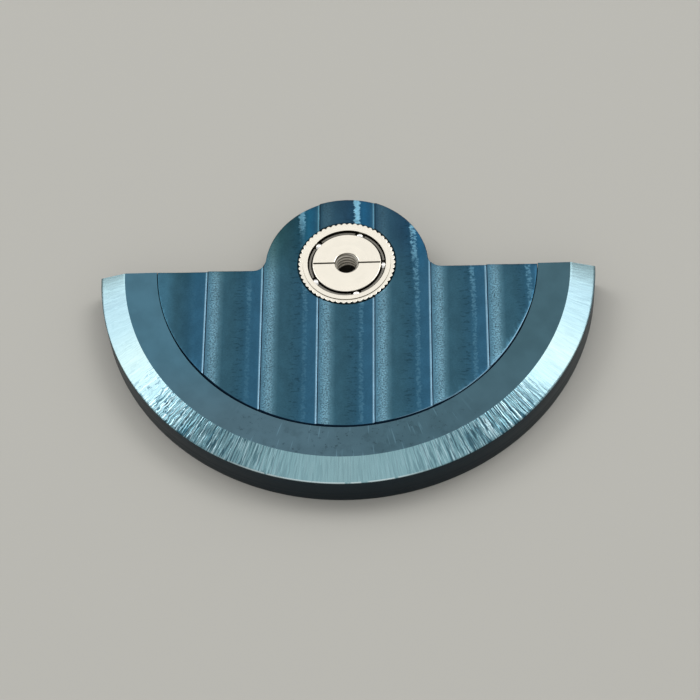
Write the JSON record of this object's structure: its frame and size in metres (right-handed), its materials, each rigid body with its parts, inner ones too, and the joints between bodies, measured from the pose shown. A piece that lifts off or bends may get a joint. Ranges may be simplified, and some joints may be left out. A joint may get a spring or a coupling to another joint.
{
  "type": "automatic watch rotor",
  "caption": "Half disc oscillating weight with a striped plate, a bevelled heavy rim and a ball bearing with a threaded core, which swings freely to wind a watch.",
  "frame": {"origin": "on the rotor axis, in the seat face under the bearing core, where the core stands on the movement", "axes": "+Z along the rotor axis from the movement to the striped face, -Y from the axis towards the middle of the heavy rim, +Y towards the hub lobe, +X along the straight back edge"},
  "size_m": [0.0264, 0.0174, 0.0022],
  "materials": {
    "plate_finish": "blue plated brass with ground stripes",
    "rim_finish": "blue plated, matt face, radially brushed bevel, dark wall",
    "bearing_steel": "fine turned, nearly polished",
    "ball_steel": "polished",
    "cage_steel": "matt",
    "gear_brass": "fine turned"
  },
  "bodies": {
    "inner_race": {"bearing_core": "bearing_steel", "bearing_cone": "bearing_steel"},
    "rotor": {"carrier_plate": "plate_finish", "heavy_rim": "rim_finish", "bearing_outer_ring": "bearing_steel", "winding_gear": "gear_brass"},
    "cage": {"ball_cage": "cage_steel"},
    "ball_1": {"ball_1": "ball_steel"},
    "ball_2": {"ball_2": "ball_steel"},
    "ball_3": {"ball_3": "ball_steel"},
    "ball_4": {"ball_4": "ball_steel"},
    "ball_5": {"ball_5": "ball_steel"}
  },
  "joints": [
    {"name": "rotor_spin", "type": "hinge", "parent": "inner_race", "child": "rotor", "pos_m": [0, 0, 0.00072], "axis": [0, 0, 1], "continuous": true},
    {"name": "cage_spin", "type": "hinge", "parent": "inner_race", "child": "cage", "pos_m": [0, 0, 0.00072], "axis": [0, 0, 1], "continuous": true},
    {"name": "ball_1_roll", "type": "hinge", "parent": "cage", "child": "ball_1", "pos_m": [0.00195, -0.00009, 0.00072], "axis": [0, 0, 1], "continuous": true},
    {"name": "ball_2_roll", "type": "hinge", "parent": "cage", "child": "ball_2", "pos_m": [0.00069, 0.00183, 0.00072], "axis": [0, 0, 1], "continuous": true},
    {"name": "ball_3_roll", "type": "hinge", "parent": "cage", "child": "ball_3", "pos_m": [-0.00153, 0.00122, 0.00072], "axis": [0, 0, 1], "continuous": true},
    {"name": "ball_4_roll", "type": "hinge", "parent": "cage", "child": "ball_4", "pos_m": [-0.00163, -0.00107, 0.00072], "axis": [0, 0, 1], "continuous": true},
    {"name": "ball_5_roll", "type": "hinge", "parent": "cage", "child": "ball_5", "pos_m": [0.00052, -0.00189, 0.00072], "axis": [0, 0, 1], "continuous": true}
  ],
  "couplings": [
    {"joint": "cage_spin", "follows": "rotor_spin", "ratio": 0.55425},
    {"joint": "ball_1_roll", "follows": "rotor_spin", "ratio": 4.5537},
    {"joint": "ball_2_roll", "follows": "rotor_spin", "ratio": 4.5537},
    {"joint": "ball_3_roll", "follows": "rotor_spin", "ratio": 4.5537},
    {"joint": "ball_4_roll", "follows": "rotor_spin", "ratio": 4.5537},
    {"joint": "ball_5_roll", "follows": "rotor_spin", "ratio": 4.5537}
  ]
}
